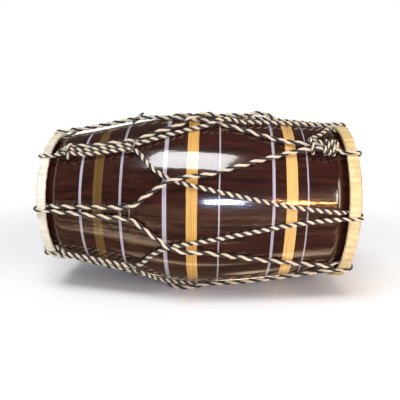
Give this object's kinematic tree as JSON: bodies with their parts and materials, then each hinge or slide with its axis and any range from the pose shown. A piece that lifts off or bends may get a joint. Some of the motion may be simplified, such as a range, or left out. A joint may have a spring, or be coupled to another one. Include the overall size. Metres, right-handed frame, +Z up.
{
  "type": "barrel drum",
  "caption": "Dholak-style wooden barrel drum with rawhide heads, zigzag rope lacing and sliding tuning rings, lying on its side.",
  "frame": {"origin": "on the ground under the middle of the drum", "axes": "+X along the barrel from the small treble head to the large bass head, +Z up"},
  "size_m": [0.4741, 0.2806, 0.2856],
  "materials": {
    "lacquered_wood": "glossy dark red-brown lacquer with painted gold bands",
    "pale_rawhide": "scraped pale rawhide",
    "tan_rawhide": "scraped tan rawhide",
    "split_cane": "bare split cane",
    "dried_paste": "matte dried tuning paste",
    "twisted_cotton": "two-strand cream and black cotton rope",
    "plated_steel": "dull plated wire"
  },
  "bodies": {
    "drum": {"shell": "lacquered_wood", "treble_skin": "pale_rawhide", "bass_skin": "tan_rawhide", "treble_hoop": "split_cane", "bass_hoop": "split_cane", "bass_tuning_paste": "dried_paste", "lacing_rope_tight": "twisted_cotton", "lacing_rope_loose": "twisted_cotton"},
    "ring_1": {"tuning_ring_1": "plated_steel"},
    "ring_2": {"tuning_ring_2": "plated_steel"},
    "ring_3": {"tuning_ring_3": "plated_steel"},
    "ring_4": {"tuning_ring_4": "plated_steel"},
    "ring_5": {"tuning_ring_5": "plated_steel"},
    "ring_6": {"tuning_ring_6": "plated_steel"},
    "ring_7": {"tuning_ring_7": "plated_steel"},
    "ring_8": {"tuning_ring_8": "plated_steel"}
  },
  "joints": [
    {"name": "ring_1_slide", "type": "slide", "parent": "drum", "child": "ring_1", "axis": [-0.9788, 0.2047, 0], "range_m": [0, 0.04]},
    {"name": "ring_2_slide", "type": "slide", "parent": "drum", "child": "ring_2", "axis": [-0.9789, 0.1445, -0.1445], "range_m": [0, 0.04]},
    {"name": "ring_3_slide", "type": "slide", "parent": "drum", "child": "ring_3", "axis": [-0.9788, 0, -0.2048], "range_m": [0, 0.04]},
    {"name": "ring_4_slide", "type": "slide", "parent": "drum", "child": "ring_4", "axis": [-0.9788, -0.145, -0.145], "range_m": [0, 0.04]},
    {"name": "ring_5_slide", "type": "slide", "parent": "drum", "child": "ring_5", "axis": [-0.9788, -0.2049, 0], "range_m": [0, 0.04]},
    {"name": "ring_6_slide", "type": "slide", "parent": "drum", "child": "ring_6", "axis": [-0.9788, -0.1447, 0.1447], "range_m": [0, 0.04]},
    {"name": "ring_7_slide", "type": "slide", "parent": "drum", "child": "ring_7", "axis": [-0.979, 0, 0.2039], "range_m": [0, 0.04]},
    {"name": "ring_8_slide", "type": "slide", "parent": "drum", "child": "ring_8", "axis": [-0.979, 0.1443, 0.1443], "range_m": [0, 0.04]}
  ]
}
